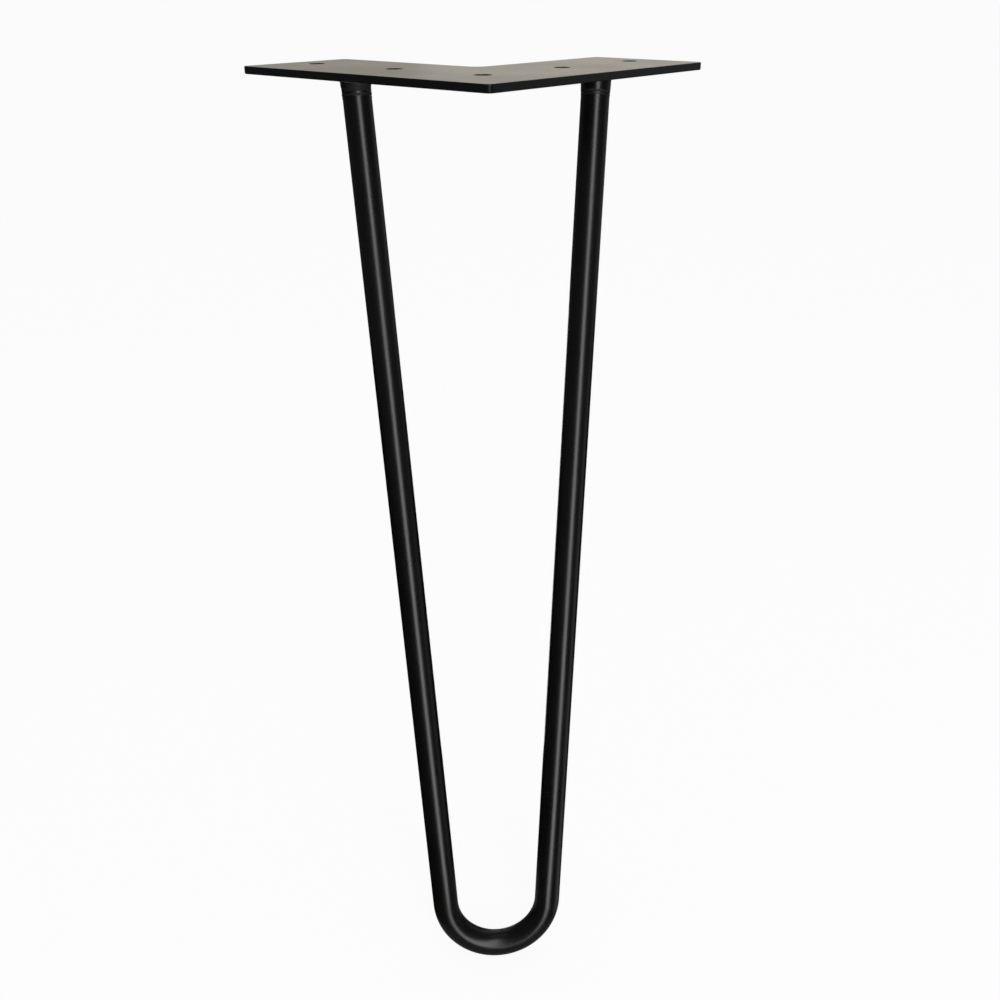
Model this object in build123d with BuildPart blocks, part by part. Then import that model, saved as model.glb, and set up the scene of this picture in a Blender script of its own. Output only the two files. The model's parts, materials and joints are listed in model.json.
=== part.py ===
from build123d import *
import os
from math import asin, atan2, cos, hypot, radians, sin, tan

# Hairpin table leg: a round steel bar, bent double at the foot and welded under an L-shaped screw plate.
# +Z is up, with the plate on top. The origin is the middle of the corner screw hole, on the top face.
# -Y points out to the corner of the table, the arms run back to either side, and X = 0 is the mirror plane.

# Plate, in millimetres
arm_length = 136.0  # along an outer edge, from the plate's corner to the end of the arm
arm_width = 56.0
plate_thickness = 3.0
corner_radius = 2.5  # the outward corners
notch_radius = 5.0  # the inward corner between the arms
rim_radius = 0.4  # softened rims of the top and bottom faces

# Screw holes, on the middle lines of the arms
hole_diameter = 6.5
hole_end_margin = 14.0  # from the last hole to the end of the arm

# Bar
leg_height = 400.0  # from the plate's top face to the floor
rod_diameter = 12.0
bend_radius = 25.0  # to the middle line of the bar
foot_reach = 15.0  # how far the bar's middle line at the foot stands outside the plate's corner

# Weld fillet round each end of the bar
weld_leg_plate = 3.0  # spread over the plate
weld_waist_drop = 3.0  # depth under the plate where the steep part ends
weld_waist = 0.35  # thickness there
weld_leg_rod = 9.5  # reach down the bar
weld_toe = 0.15  # thickness at the lower end

# Places on the plate, counted from the corner hole
arm_slant = 90 / 2  # the arms are square to each other and even about the mirror plane
corner_to_edge = arm_width / 2
hole_radius = hole_diameter / 2
last_hole = arm_length - corner_to_edge - hole_end_margin
hole_stations = [last_hole / 2, last_hole]
rod_station = sum(hole_stations) / len(hole_stations)
plate_bottom = -plate_thickness
plate_corner_y = -corner_to_edge / sin(radians(arm_slant))

# Ends and foot of the bar
rod_radius = rod_diameter / 2
rod_x = rod_station * sin(radians(arm_slant))
rod_y = rod_station * cos(radians(arm_slant))
foot_y = plate_corner_y - foot_reach
foot_z = rod_radius - leg_height

# The bar's middle line lies in a sloping plane, whose X is the leg's own X and whose Y runs up the slope
slope_rise = plate_bottom - foot_z
slope_run = rod_y - foot_y
slope_length = hypot(slope_rise, slope_run)
slope = Plane(
    origin=(0, rod_y, plate_bottom),
    x_dir=(1, 0, 0),
    z_dir=(0, -slope_rise, slope_run),
)

# The two sides close in towards the foot, and their lines would meet at an apex below the bend
bend_drop = slope_length - bend_radius
half_angle = atan2(rod_x, bend_drop) - asin(bend_radius / hypot(rod_x, bend_drop))
apex_drop = rod_x / tan(half_angle)
end_waste = rod_diameter  # sawn off where the ends are mitred to the plate
waste_x = rod_x + end_waste * tan(half_angle)

with BuildPart() as mounting_plate:
    with BuildSketch(Plane.XY.offset(plate_bottom)) as outline:
        with Locations(Rotation(0, 0, arm_slant)):
            with Locations((-corner_to_edge, -corner_to_edge)):
                Rectangle(arm_length, arm_width, align=Align.MIN)
                Rectangle(arm_width, arm_length, align=Align.MIN)
        notch_point = (0, -plate_corner_y)
        outward_corners = outline.vertices().sort_by_distance(notch_point)[1:]
        fillet(outward_corners, corner_radius)
        inward_corner = outline.vertices().sort_by_distance(notch_point)[0]
        fillet(inward_corner, notch_radius)
    extrude(amount=plate_thickness)
    rims = mounting_plate.faces().filter_by(Axis.Z).edges()
    fillet(rims, rim_radius)
    with BuildSketch(Plane.XY.offset(plate_bottom)):
        Circle(hole_radius)
        for turn in (90 - arm_slant, 90 + arm_slant):
            with Locations(Rotation(0, 0, turn)):
                with Locations([(station, 0) for station in hole_stations]):
                    Circle(hole_radius)
    extrude(amount=plate_thickness, mode=Mode.SUBTRACT)
mounting_plate.part.label = "mounting_plate"

with BuildPart() as hairpin_rod:
    with BuildLine(slope) as middle_line:
        FilletPolyline(
            (-waste_x, end_waste),
            (0, -apex_drop),
            (waste_x, end_waste),
            radius=bend_radius,
        )
    with BuildSketch(Plane(origin=middle_line.line @ 0, z_dir=middle_line.line % 0)):
        Circle(rod_radius)
    sweep(path=middle_line.line)
    split(bisect_by=Plane.XY.offset(plate_bottom), keep=Keep.BOTTOM)
hairpin_rod.part.label = "hairpin_rod"

os.makedirs("parts", exist_ok=True)
export_step(mounting_plate.part, "parts/mounting_plate.step")
export_step(hairpin_rod.part, "parts/hairpin_rod.step")

# Each weld is drawn as level rings round the slanting bar, from the plate down to a ring square to the bar
for side, node in ((-1, "left_weld"), (1, "right_weld")):
    rod_end = Vector(side * rod_x, rod_y, plate_bottom)
    rod_down = slope.x_dir * (-side * sin(half_angle)) - slope.y_dir * cos(half_angle)
    lean = Vector(rod_down.X, rod_down.Y, 0)
    level_stretch = -1 / rod_down.Z  # a level cut through the slanting bar is longer than it is wide
    with BuildPart() as weld:
        with BuildSketch(Plane(origin=rod_end, x_dir=lean)):
            Ellipse(rod_radius * level_stretch + weld_leg_plate, rod_radius + weld_leg_plate)
        waist_middle = rod_end + rod_down * (weld_waist_drop * level_stretch)
        with BuildSketch(Plane(origin=waist_middle, x_dir=lean)):
            Ellipse(rod_radius * level_stretch + weld_waist, rod_radius + weld_waist)
        toe_middle = rod_end + rod_down * weld_leg_rod
        with BuildSketch(Plane(origin=toe_middle, x_dir=lean, z_dir=-rod_down)):
            Circle(rod_radius + weld_toe)
        loft(ruled=True)
        add(hairpin_rod.part, mode=Mode.SUBTRACT)
    weld.part.label = node
    export_step(weld.part, f"parts/{node}.step")
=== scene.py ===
import bmesh
import bpy
import json
from math import asin, atan2, cos, exp, hypot, pi, radians, sin, sqrt
from mathutils import Matrix, Vector, noise


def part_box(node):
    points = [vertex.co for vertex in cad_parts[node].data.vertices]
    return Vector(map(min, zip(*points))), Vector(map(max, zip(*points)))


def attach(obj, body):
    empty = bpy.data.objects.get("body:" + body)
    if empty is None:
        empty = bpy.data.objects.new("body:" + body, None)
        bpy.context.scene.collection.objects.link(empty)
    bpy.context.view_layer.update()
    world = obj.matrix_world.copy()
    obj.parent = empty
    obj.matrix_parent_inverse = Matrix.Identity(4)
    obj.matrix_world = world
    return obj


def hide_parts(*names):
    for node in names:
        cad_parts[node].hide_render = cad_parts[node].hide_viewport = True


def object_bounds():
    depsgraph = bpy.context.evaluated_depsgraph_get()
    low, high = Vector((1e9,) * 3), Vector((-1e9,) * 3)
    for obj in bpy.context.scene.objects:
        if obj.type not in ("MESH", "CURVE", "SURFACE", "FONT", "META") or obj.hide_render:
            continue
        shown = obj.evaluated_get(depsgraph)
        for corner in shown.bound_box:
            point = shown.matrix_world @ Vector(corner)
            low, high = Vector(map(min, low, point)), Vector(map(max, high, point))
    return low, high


# Hairpin table leg: a bent bar under an L-shaped screw plate, welded and powder coated black.
# Metres, +Z up, the origin on the plate's top face in the middle of the corner hole.
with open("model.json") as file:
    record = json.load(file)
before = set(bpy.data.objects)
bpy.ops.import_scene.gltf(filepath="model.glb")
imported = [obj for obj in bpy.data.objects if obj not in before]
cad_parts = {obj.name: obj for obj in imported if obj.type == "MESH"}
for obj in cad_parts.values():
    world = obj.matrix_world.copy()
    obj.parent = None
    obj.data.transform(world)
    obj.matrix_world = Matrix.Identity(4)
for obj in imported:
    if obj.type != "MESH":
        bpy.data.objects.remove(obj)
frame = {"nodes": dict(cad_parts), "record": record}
cadLow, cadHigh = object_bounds()
mounts = {mount["name"]: mount for mount in frame["record"]["mounts"]}
mm = 0.001
body = "root"
print("frame loaded:", ", ".join(sorted(frame["nodes"])))


def linear(hexColour):
    channels = [int(hexColour[i:i + 2], 16) / 255 for i in (1, 3, 5)]
    return [c / 12.92 if c <= 0.04045 else ((c + 0.055) / 1.055) ** 2.4 for c in channels] + [1.0]


def addNode(tree, kind, sockets={}, **settings):
    node = tree.nodes.new(kind)
    for name, value in settings.items():
        setattr(node, name, value)
    for socket, value in sockets.items():
        if isinstance(value, bpy.types.NodeSocket):
            tree.links.new(value, node.inputs[socket])
        else:
            node.inputs[socket].default_value = value
    return node


def emptyMaterial(name):
    material = bpy.data.materials.new(name)
    material.use_nodes = True
    material.node_tree.nodes.clear()
    return material, material.node_tree


def addObject(name, bm, material):
    mesh = bpy.data.meshes.new(name)
    bm.to_mesh(mesh)
    bm.free()
    mesh.materials.append(material)
    thing = bpy.data.objects.new(name, mesh)
    bpy.context.scene.collection.objects.link(thing)
    return thing


creaseAngle = radians(30)  # edges sharper than this stay crisp


def addPiece(name, bm, material, node):
    bmesh.ops.recalc_face_normals(bm, faces=bm.faces[:])
    piece = addObject(name, bm, material)
    piece.data.shade_smooth()
    piece.data.set_sharp_from_angle(angle=creaseAngle)
    flats = piece.modifiers.new("flatFaces", "WEIGHTED_NORMAL")
    flats.keep_sharp = True
    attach(piece, body)
    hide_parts(node)
    return piece


def edgesOf(verts):
    held = set(verts)
    touching = dict.fromkeys(e for v in verts for e in v.link_edges)  # each edge once, in a fixed order
    return [e for e in touching if held.issuperset(e.verts)]


def newVerts(grown):
    return [v for v in grown["geom"] if isinstance(v, bmesh.types.BMVert)]


# Satin black powder coat on steel: baked on in one layer, near black, with a soft narrow gloss,
# the slight waviness of orange peel, and a fine grain that breaks up the highlight.
coat = {
    "colour": "#070707",
    "dusty": "#0d0d0c",  # where handling has left the faintest bloom
    "roughness": (0.26, 0.31),
    "hollowRoughness": 0.85,  # the powder lies thin and dull in the hollows of a weld
    "ior": 1.5,
    "peelSize": 1.6 * mm,
    "peelHeight": 0.012 * mm,
    "grainSize": 0.8 * mm,  # coarser than the real grain, which is too fine to show
    "grainHeight": 0.012 * mm,
    "bloomSize": 45 * mm,
    "bloomRange": (0.3, 0.7),  # of the bloom's noise, over which the roughness goes from smooth to dull
}


def powderCoat(name, peel=1.0):
    material, tree = emptyMaterial(name)
    place = addNode(tree, "ShaderNodeTexCoord").outputs["Object"]
    bloom = addNode(tree, "ShaderNodeTexNoise", {
        "Vector": place, "Scale": 1 / coat["bloomSize"], "Detail": 4.0, "Roughness": 0.6,
    })
    grain = addNode(tree, "ShaderNodeTexNoise", {
        "Vector": place, "Scale": 1 / coat["grainSize"], "Detail": 2.0, "Roughness": 0.5,
    })
    peelWaves = addNode(tree, "ShaderNodeTexNoise", {
        "Vector": place, "Scale": 1 / coat["peelSize"], "Detail": 1.0, "Roughness": 0.4,
    })
    colour = addNode(tree, "ShaderNodeMix", {
        "Factor": bloom.outputs["Fac"], "A": linear(coat["colour"]), "B": linear(coat["dusty"]),
    }, data_type="RGBA")
    smooth, dull = coat["roughness"]
    least, most = coat["bloomRange"]
    gloss = addNode(tree, "ShaderNodeMapRange", {
        "Value": bloom.outputs["Fac"], "From Min": least, "From Max": most,
        "To Min": smooth, "To Max": dull,
    })
    hollow = addNode(tree, "ShaderNodeAttribute", attribute_name="hollow")  # only the welds have it
    roughness = addNode(tree, "ShaderNodeMix", {
        "Factor": hollow.outputs["Fac"], "A": gloss.outputs["Result"], "B": coat["hollowRoughness"],
    })
    grainBump = addNode(tree, "ShaderNodeBump", {
        "Height": grain.outputs["Fac"], "Strength": 1.0, "Distance": coat["grainHeight"],
    })
    peelBump = addNode(tree, "ShaderNodeBump", {
        "Height": peelWaves.outputs["Fac"], "Strength": 1.0, "Distance": coat["peelHeight"] * peel,
        "Normal": grainBump.outputs["Normal"],
    })
    shader = addNode(tree, "ShaderNodeBsdfPrincipled", {
        "Base Color": colour.outputs["Result"],
        "Roughness": roughness.outputs["Result"],
        "IOR": coat["ior"],
        "Normal": peelBump.outputs["Normal"],
    })
    addNode(tree, "ShaderNodeOutputMaterial", {"Surface": shader.outputs["BSDF"]})
    return material


barCoat = powderCoat("satinBlackPowderCoat")
weldCoat = powderCoat("satinBlackPowderCoatOnWeld", peel=1.5)
print("powder coat made")

# Screw plate: an L cut from sheet, with five holes
plate = {
    "armLength": 136 * mm,  # along an outer edge, from the corner to the end of the arm
    "armWidth": 56 * mm,
    "cornerRadius": 2.5 * mm,
    "notchRadius": 5 * mm,
    "rim": 0.4 * mm,  # softened edges of the faces and the holes
    "rimSteps": 4,
    "cornerSteps": 12,
    "holeSteps": 64,
    "flatFrom": 0.9,  # a face counts as flat where its normal stands at least this upright
}


def holeCentres():
    centres = [Vector(mounts["corner_hole"]["pos_m"])]
    for name in ("inner_holes", "outer_holes"):
        middle = Vector(mounts[name]["pos_m"])
        half = Vector((mounts[name]["dims"]["spacing_x_mm"] / 2 * mm, 0, 0))
        centres += [middle - half, middle + half]
    return centres


def roundCorner(bm, verts, radius):
    bmesh.ops.bevel(
        bm, geom=verts, offset=radius, offset_type="OFFSET", affect="VERTICES",
        segments=plate["cornerSteps"], profile=0.5, material=-1,
    )


def makePlate():
    low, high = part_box("mounting_plate")
    rim = plate["rim"]
    length, width = plate["armLength"], plate["armWidth"]
    along = Vector((1, 1, 0)).normalized()
    across = Vector((-1, 1, 0)).normalized()
    corner = Vector((0, -width / sqrt(2), low.z + rim))
    inner = corner + (along + across) * width
    bm = bmesh.new()
    outline = [
        corner, corner + along * length, corner + along * length + across * width,
        inner, corner + across * length + along * width, corner + across * length,
    ]
    bm.faces.new([bm.verts.new(point) for point in outline])
    outward = sorted(bm.verts, key=lambda v: (v.co - inner).length)[1:]
    roundCorner(bm, outward, plate["cornerRadius"])
    roundCorner(bm, [min(bm.verts, key=lambda v: (v.co - inner).length)], plate["notchRadius"])
    bmesh.ops.delete(bm, geom=bm.faces[:], context="FACES_ONLY")
    radius = mounts["corner_hole"]["dims"]["r_mm"] * mm
    for centre in holeCentres():
        middle = Vector((centre.x, centre.y, low.z + rim))
        bmesh.ops.create_circle(
            bm, segments=plate["holeSteps"], radius=radius, matrix=Matrix.Translation(middle),
        )
    bmesh.ops.triangle_fill(bm, edges=bm.edges[:], use_beauty=True, normal=(0, 0, 1))
    sheet = bmesh.ops.extrude_face_region(bm, geom=bm.faces[:])
    bmesh.ops.translate(bm, verts=newVerts(sheet), vec=(0, 0, high.z - low.z - 2 * rim))
    bmesh.ops.recalc_face_normals(bm, faces=bm.faces[:])
    bm.normal_update()
    for up in (1, -1):
        flat = [f for f in bm.faces if f.normal.z * up > plate["flatFrom"]]
        for step in range(plate["rimSteps"]):
            fromTurn, toTurn = (k / plate["rimSteps"] * pi / 2 for k in (step, step + 1))
            bmesh.ops.inset_region(
                bm, faces=flat, thickness=rim * (cos(fromTurn) - cos(toTurn)),
                depth=rim * (sin(toTurn) - sin(fromTurn)), use_even_offset=True, use_boundary=True,
            )
    return bm


plateObject = addPiece("mountingPlate", makePlate(), barCoat, "mounting_plate")
print("plate made:", len(plateObject.data.polygons), "faces")

# Bar: one length of round steel, bent double at the foot, its ends mitred to the plate's underside
bar = {
    "diameter": 12 * mm,
    "bendRadius": 25 * mm,  # to the middle line
    "sides": 128,
    "bendSteps": 96,
    "sideSteps": 40,
    "waste": 12 * mm,  # cut off at the mitre
}

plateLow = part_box("mounting_plate")[0]
barRadius = bar["diameter"] / 2
rightEnd = sum((c for c in holeCentres() if c.x > mm), Vector()) / 2  # midway between the arm's two holes
rightEnd.z = plateLow.z
foot = Vector(mounts["foot"]["pos_m"]) + Vector((0, 0, barRadius))
topMiddle = Vector((0, rightEnd.y, rightEnd.z))
slopeDown = (foot - topMiddle).normalized()
bendDrop = (foot - topMiddle).length - bar["bendRadius"]
halfAngle = atan2(rightEnd.x, bendDrop) - asin(bar["bendRadius"] / hypot(rightEnd.x, bendDrop))
bendMiddle = topMiddle + slopeDown * bendDrop
xAxis = Vector((1, 0, 0))
slopeNormal = xAxis.cross(slopeDown)


def sideDown(side):
    return (slopeDown * cos(halfAngle) - xAxis * side * sin(halfAngle)).normalized()


def sideEnd(side):
    return Vector((side * rightEnd.x, rightEnd.y, rightEnd.z))


def runStraight(bm, edges, move, steps):
    for step in range(steps):
        grown = bmesh.ops.extrude_edge_only(bm, edges=edges)
        bmesh.ops.translate(bm, verts=newVerts(grown), vec=move / steps)
        edges = edgesOf(newVerts(grown))
    return edges


def makeBar():
    left, right = sideDown(-1), sideDown(1)
    start = sideEnd(-1) - left * bar["waste"]
    bendStart = bendMiddle + slopeNormal.cross(left).normalized() * bar["bendRadius"]
    run = (bendStart - start).length
    bm = bmesh.new()
    turn = left.to_track_quat("Z", "Y").to_matrix().to_4x4()
    ring = bmesh.ops.create_circle(
        bm, segments=bar["sides"], radius=barRadius, matrix=Matrix.Translation(start) @ turn,
    )["verts"]
    edges = runStraight(bm, edgesOf(ring), left * run, bar["sideSteps"])
    bend = bmesh.ops.spin(
        bm, geom=edges, cent=bendMiddle, axis=slopeNormal, angle=2 * halfAngle - pi, steps=bar["bendSteps"],
    )
    bendEnd = [e for e in bend["geom_last"] if isinstance(e, bmesh.types.BMEdge)]
    runStraight(bm, bendEnd, -right * run, bar["sideSteps"])
    bmesh.ops.bisect_plane(
        bm, geom=bm.verts[:] + bm.edges[:] + bm.faces[:], plane_co=rightEnd, plane_no=(0, 0, 1),
        clear_outer=True,
    )
    bmesh.ops.holes_fill(bm, edges=[e for e in bm.edges if e.is_boundary])
    return bm


barObject = addPiece("hairpinBar", makeBar(), barCoat, "hairpin_rod")
print("bar made:", len(barObject.data.polygons), "faces")

# Weld: a fillet laid round each end of the bar, steep under the plate, then thin down the bar
weld = {
    "spread": 3 * mm,  # over the plate
    "waistDrop": 3 * mm,
    "waist": 0.35 * mm,
    "reach": 9.5 * mm,  # down the bar
    "toe": 0.15 * mm,
    "root": 0.05 * mm,  # how far it is sunk into the bar
    "sides": 288,
    "steepLevels": 24,
    "thinLevels": 72,
    "ripples": 21,  # crescents that the weld pool leaves as it goes round
    "rippleBow": 0.9,  # how far a crescent trails, in ripples
    "rippleStray": 0.25,
    "rippleHeight": 0.16 * mm,
    "rippleDull": 0.7,  # share of a groove's dullness
    "lumpSize": 3 * mm,
    "lumpHeight": 0.07 * mm,
    "grooveWidth": 0.38 * mm,
    "grooveDepth": 0.15 * mm,
    "grooveStray": 0.25 * mm,
    "leastCover": 0.03 * mm,  # of weld left over the bar under a groove
}
# Grooves lie between the runs of a weld, so many millimetres up from its lower end
welds = {
    "leftWeld": {"side": -1, "node": "left_weld", "grooves": (0.8, 2.4, 3.0, 3.6, 4.3), "dull": 0.2},
    "rightWeld": {"side": 1, "node": "right_weld", "grooves": (0.0, 1.3), "dull": 0.0},
}


def ringMatrix(middle, longWay, acrossWay, longRadius, acrossRadius):
    rows = Matrix((longWay * longRadius, acrossWay * acrossRadius, longWay.cross(acrossWay)))
    return Matrix.Translation(middle) @ rows.transposed().to_4x4()


def weldRings(side):
    down, end = sideDown(side), sideEnd(side)
    lean = Vector((down.x, down.y, 0)).normalized()
    level = Vector((0, 0, 1)).cross(lean)
    square = (lean - down * lean.dot(down)).normalized()
    stretch = -1 / down.z  # a level cut through the slanting bar is longer than it is wide

    def levelRing(drop, thickness):
        middle = end + down * drop * stretch
        return ringMatrix(middle, lean, level, barRadius * stretch + thickness, barRadius + thickness)

    def squareRing(thickness):
        middle, radius = end + down * weld["reach"], barRadius + thickness
        return ringMatrix(middle, square, level, radius, radius)

    plateRing = levelRing(0, weld["spread"])
    waistRing = levelRing(weld["waistDrop"], weld["waist"])
    toeRing = squareRing(weld["toe"])
    steep, thin = weld["steepLevels"], weld["thinLevels"]
    skin = [plateRing.lerp(waistRing, step / steep) for step in range(steep)]
    skin += [waistRing.lerp(toeRing, step / thin) for step in range(thin + 1)]
    return skin, [squareRing(-weld["root"]), levelRing(0, -weld["root"])]


strayShift = Vector((7, 0, 0))  # the stray is read from another place in the noise than the lumps


def roughenWeld(verts, hollow, run):
    down, end = sideDown(run["side"]), sideEnd(run["side"])
    ahead = (Vector((0, -1, 0)) + down * down.y).normalized()
    aside = down.cross(ahead)
    for v in verts:
        depth = (v.co - end).dot(down)
        outward = v.co - end - down * depth
        spare = outward.length - barRadius - weld["leastCover"]
        outward.normalize()
        turn = atan2(outward.dot(aside), outward.dot(ahead)) / (2 * pi)
        drop = min(1, max(0, (plateLow.z - v.co.z) / weld["waistDrop"]))
        shown = sqrt(drop)  # nothing is cut where it meets the plate
        lump = (1 + noise.noise(v.co / weld["lumpSize"])) / 2
        stray = noise.noise(v.co / weld["lumpSize"] + strayShift)
        phase = turn * weld["ripples"] + weld["rippleBow"] * drop * drop + weld["rippleStray"] * stray
        ripple = (1 - cos(2 * pi * phase)) / 2 * sqrt(sqrt(1 - drop))  # on the steep part alone
        above = weld["reach"] - depth + weld["grooveStray"] * stray
        groove = max(exp(-((above - place * mm) / weld["grooveWidth"]) ** 2) for place in run["grooves"])
        cut = weld["lumpHeight"] * lump
        cut += weld["rippleHeight"] * shown * ripple
        cut += weld["grooveDepth"] * groove
        v.co -= outward * min(shown * cut, spare)
        v[hollow] = shown * max(groove, weld["rippleDull"] * shown * ripple, run["dull"] * lump)


def makeWeld(run):
    skin, inside = weldRings(run["side"])
    bm = bmesh.new()
    hollow = bm.verts.layers.float.new("hollow")
    loops = [
        bmesh.ops.create_circle(bm, segments=weld["sides"], radius=1, matrix=matrix)["verts"]
        for matrix in skin + inside
    ]
    for upper, lower in zip(loops, loops[1:] + loops[:1]):
        bmesh.ops.bridge_loops(bm, edges=edgesOf(upper) + edgesOf(lower))
    roughenWeld([v for loop in loops[:len(skin)] for v in loop], hollow, run)
    return bm


for name, run in welds.items():
    piece = addPiece(name, makeWeld(run), weldCoat, run["node"])
    print("weld made:", name, len(piece.data.polygons), "faces")

# Camera: stands a little left of the leg's middle and looks down on it
camera = {
    "place": Vector((-20.93, -398.05, 29.57)) * mm,
    "azimuth": radians(3.827),  # towards +X from straight along +Y
    "pitch": radians(27.175),  # downwards
    "roll": radians(-0.218),
    "lens": 36.185,  # millimetres, and so is the sensor
    "sensor": 36,
    "clip": (0.01, 200),
}


def makeCamera():
    azimuth, pitch, roll = camera["azimuth"], camera["pitch"], camera["roll"]
    forward = Vector((sin(azimuth) * cos(pitch), cos(azimuth) * cos(pitch), -sin(pitch)))
    right = Vector((cos(azimuth), -sin(azimuth), 0))
    up = right.cross(forward)
    tilted = (right * cos(roll) + up * sin(roll), up * cos(roll) - right * sin(roll), -forward)
    data = bpy.data.cameras.new("photoCamera")
    data.sensor_width = camera["sensor"]
    data.lens = camera["lens"]
    data.clip_start, data.clip_end = camera["clip"]
    thing = bpy.data.objects.new("photoCamera", data)
    thing.matrix_world = Matrix.Translation(camera["place"]) @ Matrix(tilted).transposed().to_4x4()
    bpy.context.scene.collection.objects.link(thing)
    bpy.context.scene.camera = thing


makeCamera()
print("camera placed")

# Studio: a white floor in a pale room, and one tall arched lamp to the right of the camera. Dark, grey
# and pale screens hang round the leg. Only gloss shows them: the black stays black and its forms read.
studio = {
    "floorColour": "#f6f6f6",
    "floorRadius": 80.0,
    "floorSides": 96,
    "floorGlow": 0.92,  # share of plain white in the floor as the camera sees it, the rest being lit paint
    "roomColour": "#fcfcfc",
    "roomLight": 0.6,
    "screenSteps": 32,
    "mergeGap": 0.1 * mm,  # points of a screen nearer than this are one
}
# Each screen is a line of (distance from the foot, height above the floor) in metres, swept round the foot
# between two angles in degrees from straight in front of it, to the right positive
screens = {
    # The lamp, its foot along the floor, and a low light behind for the inside of the bend
    "lampArch": {"glow": 4.0, "line": [(1.4, 0.4), (1.4, 1.5), (0.5, 2.1)], "sweep": (2.5, 26)},
    "lampFoot": {"glow": 4.0, "line": [(0.06, 0.003), (1.4, 0.003), (1.4, 0.4)], "sweep": (2.5, 26)},
    "backLampCloth": {"glow": 2.5, "line": [(0.15, 0.002), (1.2, 0.002)], "sweep": (168, 198)},
    # Round the sides and the back, open at the height that the plate's top mirrors
    "darkCurtain": {"glow": 0.06, "line": [(1.5, 0.001), (1.5, 3.0)], "sweep": (-157, 92)},
    "greyCurtain": {"glow": 0.2, "line": [(1.5, 0.001), (1.5, 3.0)], "sweep": (92, 148)},
    "darkBackCurtain": {"glow": 0.06, "line": [(1.5, 1.0), (1.5, 3.0)], "sweep": (148, 203)},
    "darkBackSkirt": {"glow": 0.06, "line": [(1.2, 0.001), (1.2, 0.44)], "sweep": (148, 203)},
    # What the plate's top mirrors at its flat angle, a warm white
    "paleBackWall": {
        "glow": 1.05, "colour": "#fff6e6", "line": [(1.6, 0.4), (1.6, 0.9)], "sweep": (148, 181),
    },
    "shadedBackWall": {
        "glow": 0.8, "colour": "#fff6e6", "line": [(1.6, 0.4), (1.6, 0.9)], "sweep": (181, 203),
    },
    # On the floor and overhead
    "darkFloorCloth": {"glow": 0.005, "line": [(0.0, 0.001), (1.5, 0.001)], "sweep": (0, 360)},
    "greyFootCloth": {"glow": 0.14, "line": [(0.0, 0.0015), (0.045, 0.0015)], "sweep": (0, 360)},
    "greyFloorCloth": {"glow": 0.35, "line": [(0.05, 0.002), (1.5, 0.002)], "sweep": (72, 106)},
    "darkCeiling": {"glow": 0.02, "line": [(0.0, 2.4), (4.0, 2.4)], "sweep": (0, 360)},
    "paleCeiling": {"glow": 0.6, "line": [(0.05, 2.3), (1.2, 2.3)], "sweep": (110, 250)},
}


def seenDirectly(tree):
    path = addNode(tree, "ShaderNodeLightPath")
    mirrored = addNode(tree, "ShaderNodeMath", {
        0: path.outputs["Is Camera Ray"], 1: path.outputs["Is Glossy Ray"],
    }, operation="MAXIMUM")
    return addNode(tree, "ShaderNodeMath", {
        0: mirrored.outputs[0], 1: path.outputs["Is Transmission Ray"],
    }, operation="MAXIMUM").outputs[0]


def makeFloor():
    material, tree = emptyMaterial("whitePaintedFloor")
    paint = addNode(tree, "ShaderNodeBsdfDiffuse", {"Color": linear(studio["floorColour"])})
    glow = addNode(tree, "ShaderNodeEmission", {"Color": (1, 1, 1, 1), "Strength": 1.0})
    share = addNode(tree, "ShaderNodeMath", {
        0: seenDirectly(tree), 1: studio["floorGlow"],
    }, operation="MULTIPLY")
    mixed = addNode(tree, "ShaderNodeMixShader", {
        0: share.outputs[0], 1: paint.outputs[0], 2: glow.outputs[0],
    })
    addNode(tree, "ShaderNodeOutputMaterial", {"Surface": mixed.outputs[0]})
    bm = bmesh.new()
    bmesh.ops.create_circle(
        bm, cap_ends=True, segments=studio["floorSides"], radius=studio["floorRadius"],
        matrix=Matrix.Translation((0, 0, cadLow.z)),
    )
    addObject("studioFloor", bm, material)


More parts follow.
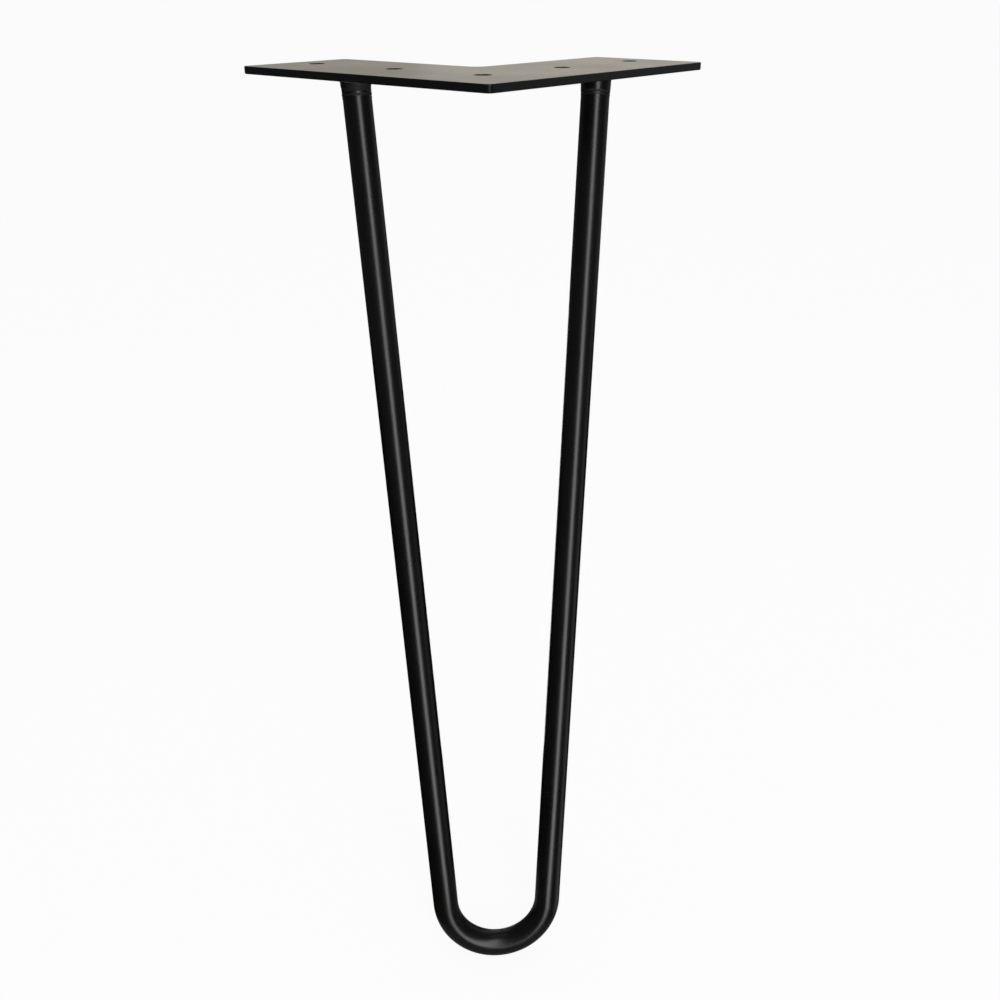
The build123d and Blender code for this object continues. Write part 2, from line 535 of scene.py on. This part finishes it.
def makeRoom():
    world = bpy.data.worlds.new("paleRoom")
    bpy.context.scene.world = world
    world.use_nodes = True
    world.cycles.sampling_method = "NONE"
    tree = world.node_tree
    tree.nodes.clear()
    strength = addNode(tree, "ShaderNodeMapRange", {
        "Value": seenDirectly(tree), "To Min": studio["roomLight"], "To Max": 1.0,
    })
    light = addNode(tree, "ShaderNodeBackground", {
        "Color": linear(studio["roomColour"]), "Strength": strength.outputs["Result"],
    })
    addNode(tree, "ShaderNodeOutputWorld", {"Surface": light.outputs[0]})


def makeScreen(name, screen):
    material, tree = emptyMaterial(name + "Cloth")
    colour = linear(screen.get("colour", "#ffffff"))
    cloth = addNode(tree, "ShaderNodeEmission", {"Color": colour, "Strength": screen["glow"]})
    addNode(tree, "ShaderNodeOutputMaterial", {"Surface": cloth.outputs[0]})
    isLamp = name == "lampArch"  # it lights the floor too
    if not isLamp:
        material.cycles.emission_sampling = "NONE"
    fromAngle, toAngle = (radians(angle) for angle in screen["sweep"])
    centre = Vector((foot.x, foot.y, cadLow.z))
    outward = Matrix.Rotation(fromAngle, 3, "Z") @ Vector((0, -1, 0))
    bm = bmesh.new()
    points = [bm.verts.new(centre + outward * away + Vector((0, 0, up))) for away, up in screen["line"]]
    line = [bm.edges.new(pair) for pair in zip(points, points[1:])]
    bmesh.ops.spin(
        bm, geom=points + line, cent=centre, axis=(0, 0, 1), angle=toAngle - fromAngle,
        steps=studio["screenSteps"], use_merge=screen["sweep"] == (0, 360),
    )
    bmesh.ops.remove_doubles(bm, verts=bm.verts[:], dist=studio["mergeGap"])
    thing = addObject(name, bm, material)
    thing.visible_camera = False
    thing.visible_shadow = False
    thing.visible_diffuse = isLamp
    return thing


makeFloor()
makeRoom()
hung = {name: makeScreen(name, screen) for name, screen in screens.items()}
# The lamp's gloss runs up the bar to the welds, so the plate doesn't stand in the lamp's way. The lamp's
# foot leaves the plate out, because the plate's underside would mirror it as a white patch
allButPlate = bpy.data.collections.new("allButPlate")
allButPlate.objects.link(plateObject)
allButPlate.collection_objects[0].light_linking.link_state = "EXCLUDE"
hung["lampArch"].light_linking.blocker_collection = allButPlate
hung["lampFoot"].light_linking.receiver_collection = allButPlate
bpy.context.scene.view_settings.view_transform = "Standard"
print("studio lit")
